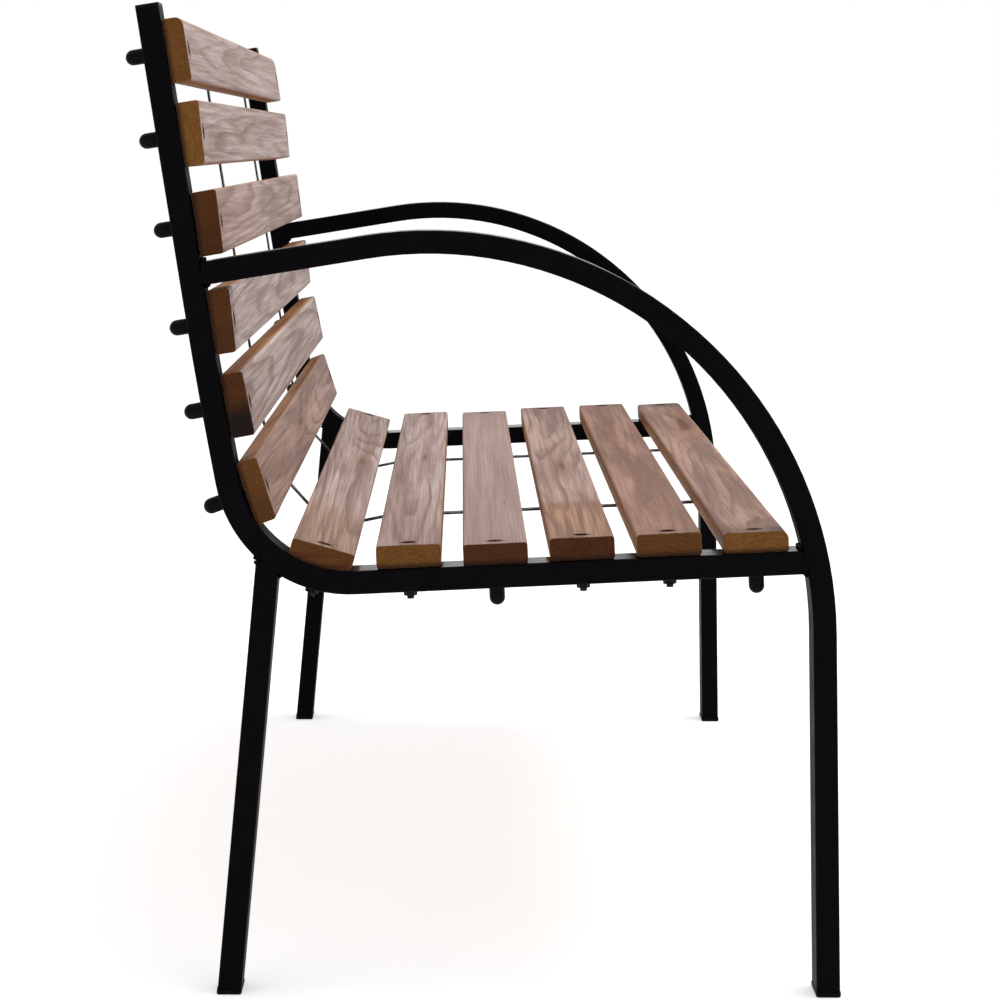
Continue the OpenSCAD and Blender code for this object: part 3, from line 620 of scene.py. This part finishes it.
def bead(shape, start, end, size, out, seed):
    """A weld bead with the ripples of its puddles, from start to end, low and round."""
    half_width, height = size
    run = end - start
    way = run.normalized()
    wide = out.cross(way)
    steps = max(BEAD_LEAST_STEPS, int(run.length / BEAD_STEP))
    rings = []
    for k in range(steps + 1):
        s = k / steps
        at = start + run * s
        ripple = 0.5 + 0.5 * math.cos(2 * math.pi * (s * run.length / PUDDLE))
        swell = 1 + SWELL * noise.noise(Vector((s * run.length / SWELL_LONG, seed, 0)))
        taper = math.sqrt(max(TAPER_LEAST, 1 - abs(2 * s - 1) ** TAPER_POWER))
        r = taper * swell * (1 - PUDDLE_DEPTH + PUDDLE_DEPTH * ripple)
        ring = []
        for j in range(BEAD_SIDES):
            a = 2 * math.pi * j / BEAD_SIDES
            aside, up = half_width * r * math.sin(a), height * r * math.cos(a)
            ring.append(shape.verts.new(at + wide * aside + out * up + way * (PUDDLE_LEAN * math.cos(a))))
        rings.append(ring)
    solid_of_rings(shape, rings)


def weld_beads(name):
    """Rippled beads in place of the plain ones: in the corners across the tubes and on their sides."""
    shape = bmesh.new()
    side = -1 if name.startswith("left") else 1
    for k, points in enumerate(connected_parts(name)):
        low_x, high_x = min(p.x for p in points), max(p.x for p in points)
        middle = sum(points, Vector()) / len(points)
        if high_x - low_x > TUBE_W / 4:
            start = Vector((low_x - BEAD_PAST, middle.y, middle.z))
            end = Vector((high_x + BEAD_PAST, middle.y, middle.z))
            bead(shape, start, end, CORNER_BEAD, Vector((0, 0, 1)), k)
        else:
            p, q = max(((p, q) for p in points for q in points), key=lambda pair: (pair[0] - pair[1]).length)
            outer = 1 if (low_x + high_x) / 2 > side * BOLT_X else -1
            on_face = Vector((side * BOLT_X + outer * TUBE_W / 2, middle.y, middle.z))
            way = Vector((0, q.y - p.y, q.z - p.z)).normalized()
            reach = (p - q).length / 2 - SIDE_SHORT
            bead(shape, on_face - way * reach, on_face + way * reach, SIDE_BEAD, Vector((outer, 0, 0)),
                 k + SIDE_SEEDS)
    finish_piece(shape, name + "_beads", PAINT, name, creased=False)


def moulded_foot(name):
    """Foot insert whose base stands a little proud of the tube and is rounded where it meets the ground."""
    shape = bmesh.new()
    shape.from_mesh(nodes[name].data)
    bmesh.ops.remove_doubles(shape, verts=shape.verts, dist=MERGE)
    bmesh.ops.dissolve_limit(shape, angle_limit=math.radians(FLAT_DEG), verts=shape.verts, edges=shape.edges)
    top = max(v.co.z for v in shape.verts)
    sole = [v.co for v in shape.verts if v.co.z < ON_GROUND]
    stem_end = [v.co for v in shape.verts if v.co.z > 0.7 * top]
    low = Vector([min(co[a] for co in sole) for a in range(3)])
    high = Vector([max(co[a] for co in sole) for a in range(3)])
    ground = (low + high) / 2
    axis = (sum(stem_end, Vector()) / len(stem_end) - ground).normalized()
    for v in shape.verts:
        out = v.co - ground
        out -= axis * out.dot(axis)
        across, deep = out.x / (TUBE_W / 2), out.y / (TUBE_T / 2)
        if max(abs(across), abs(deep)) > FOOT_RIM:
            v.co.x += FOOT_PROUD * across
            v.co.y += FOOT_PROUD * deep
            if v.co.z < ON_GROUND:
                v.co.z = 0
    shape.normal_update()
    edges = [e for e in shape.edges if all(v.co.z < ON_GROUND for v in e.verts)
             and any(abs(f.normal.z) < 0.5 for f in e.link_faces)]
    bmesh.ops.bevel(shape, geom=edges, offset=SOLE_R, offset_type="OFFSET", segments=4, profile=0.5,
                    affect="EDGES")
    finish_piece(shape, name + "_moulding", PLASTIC, name)


# Back slats from the top down, then seat slats from the back to the front
slat("back_slat_1", 1, stain=(0.15, 0.70, 0.0), pith=(6, -34), slope=(0.004, 0.011), swirl=0.5,
     nose=UPPER_FRONT, corner_r=20 * MM)
slat("back_slat_2", 2, stain=(0.15, 0.95, 0.0), pith=(-9, -30), slope=(-0.006, 0.012), swirl=0.7,
     knot=(-150, -6, 1), lifts=(-0.5, 2.5))
slat("back_slat_3", 3, stain=(0.30, 0.15, 0.2), pith=(14, -38), slope=(-0.005, -0.010), swirl=0.6,
     held=0.3, lifts=(2.9, 5.0))
slat("back_slat_4", 4, stain=(0.00, 0.20, 0.2), pith=(-4, -27), slope=(0.003, 0.013), swirl=0.6,
     lifts=(0, 2.5))
slat("back_slat_5", 5, stain=(0.05, 0.15, 1.0), pith=(10, -45), slope=(0.0, -0.011), swirl=0.7,
     lifts=(3.0, 1.8))
slat("back_slat_6", 6, stain=(0.70, 0.50, 0.3), pith=(2, -24), slope=(-0.012, 0.012), swirl=1.0,
     knot=(-60, 4, 3), held=0.3, lifts=(-1.2, 0.8))
slat("seat_slat_1", 7, stain=(0.20, 0.40, 0.0), pith=(-16, -26), slope=(0.010, 0.013), swirl=1.0,
     knot=(80, -9, 3), held=0.7, on_bend=True)
slat("seat_slat_2", 8, stain=(0.25, 0.70, 0.0), pith=(8, -32), slope=(0.008, 0.011), swirl=0.7,
     knot=(85, -6, 2), held=0.1, lifts=(2, 2))
slat("seat_slat_3", 9, stain=(0.42, 0.10, 0.0), pith=(-14, -90), slope=(0.003, -0.004), swirl=0.0)
slat("seat_slat_4", 10, stain=(0.60, 0.05, 0.0), pith=(3, -25), slope=(0.0, 0.012), swirl=0.9,
     knot=(-70, -2, 3), held=1.0, fade=(-378, 25), lifts=(2, 2))
slat("seat_slat_5", 11, stain=(1.00, 0.40, 0.0), pith=(12, -46), slope=(-0.004, 0.010), swirl=0.6,
     held=0.3, lifts=(2, 2))
slat("seat_slat_6", 12, stain=(0.85, 0.85, 0.0), pith=(-8, -36), slope=(0.004, -0.012), swirl=0.9,
     knot=(350, -9, 6), nose=LOWER_FRONT)
for welds in ("left_welds", "right_welds"):
    weld_beads(welds)
for foot in ("left_front_foot", "left_rear_foot", "right_front_foot", "right_rear_foot"):
    moulded_foot(foot)


# ------------------------------------------------------------ floor, light and camera
def seen_straight(tree):
    """1 for what the camera sees, in a mirror or through glass too, and 0 for light on the bench."""
    path = add(tree, "LightPath").outputs
    seen = add(tree, "Math", LARGER, i0=path["Is Camera Ray"], i1=path["Is Glossy Ray"])
    return add(tree, "Math", LARGER, i0=seen, i1=path["Is Transmission Ray"])


def pale_floor():
    """Plain matt white floor, which keeps the bench's shadow. To the camera it has a glow of its own
    that brings it to the white of the surroundings, so that no edge shows where it ends."""
    made, t = new_material("matt_white_floor")
    matt = add(t, "BsdfDiffuse", Color=linear("f4f4f4"))
    level = add(t, "MapRange", Value=seen_straight(t), To_Max=FLOOR_GLOW)
    glow = add(t, "Emission", Color=(1, 1, 1, 1), Strength=level)
    floor_skin = add(t, "AddShader", i0=matt, i1=glow)
    add(t, "OutputMaterial", Surface=floor_skin)
    return made


def lamp(name, at, aim, size, watts):
    """Square soft lamp that points at a place on the bench."""
    data = bpy.data.lights.new(name, "AREA")
    data.shape = "SQUARE"
    data.size = size
    data.energy = watts
    made = in_scene(name, data)
    made.location = at
    made.rotation_euler = (Vector(aim) - Vector(at)).to_track_quat("-Z", "Y").to_euler()


floor_mesh = bpy.data.meshes.new("floor")
corners = [(x * FLOOR_REACH, y * FLOOR_REACH, 0) for x, y in ((-1, -1), (1, -1), (1, 1), (-1, 1))]
floor_mesh.from_pydata(corners, [], [(0, 1, 2, 3)])
floor_mesh.materials.append(pale_floor())
in_scene("floor", floor_mesh)

lamp("top_lamp", at=(0.2, -0.8, 3.4), aim=(0, 0, 0.4), size=2.6, watts=60)
lamp("side_lamp", at=(-3.4, -1.6, 1.8), aim=(-0.4, 0, 0.5), size=1.6, watts=6)

world = bpy.data.worlds.new("studio")
bpy.context.scene.world = world
world.use_nodes = True
sky = world.node_tree
sky.nodes.clear()
sky_level = add(sky, "MapRange", Value=seen_straight(sky), To_Min=SKY_LIGHT)
add(sky, "OutputWorld", Surface=add(sky, "Background", Color=(1, 1, 1, 1), Strength=sky_level))

camera_data = bpy.data.cameras.new("camera")
camera_data.lens = LENS_MM
camera_data.sensor_width = SENSOR_MM
camera_data.shift_x, camera_data.shift_y = SHIFT
camera_data.clip_end = CLIP_END
camera = in_scene("camera", camera_data)
camera.location = VIEW_FROM
along_bench = Matrix.Rotation(math.radians(-90), 4, "Z") @ Matrix.Rotation(math.radians(90), 4, "X")
camera.rotation_euler = (along_bench @ Matrix.Rotation(math.radians(ROLL_DEG), 4, "Z")).to_euler()
bpy.context.scene.camera = camera
bpy.context.scene.view_settings.view_transform = "Standard"
